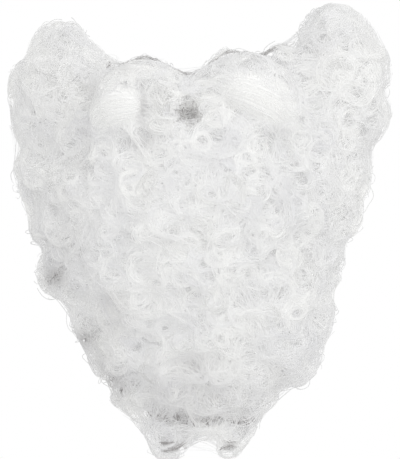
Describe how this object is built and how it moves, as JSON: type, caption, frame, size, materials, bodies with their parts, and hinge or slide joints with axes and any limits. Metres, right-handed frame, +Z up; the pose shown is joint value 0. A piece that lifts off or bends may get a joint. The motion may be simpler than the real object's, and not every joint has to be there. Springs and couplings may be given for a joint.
{
  "type": "fake beard",
  "caption": "Long white curly false beard with moustache and sideburns on a shaped cloth face piece with a mouth opening.",
  "frame": {"origin": "middle of the mouth opening on the inner face of the cloth backing, where it lies against the lips", "axes": "+Z up, +Y back towards the wearer's head, so the beard faces -Y, +X to the right as seen from the front"},
  "size_m": [0.3058, 0.1562, 0.3631],
  "materials": {
    "backing_cloth": "matt knitted cloth",
    "brushed_hair": "smooth brushed synthetic hair, soft sheen",
    "curled_hair": "curled synthetic hair, soft"
  },
  "bodies": {
    "root": {"backing": "backing_cloth", "moustache_left": "brushed_hair", "moustache_right": "brushed_hair", "sideburn_left": "curled_hair", "sideburn_right": "curled_hair", "chin_curls": "curled_hair", "beard_length": "curled_hair"}
  },
  "joints": []
}
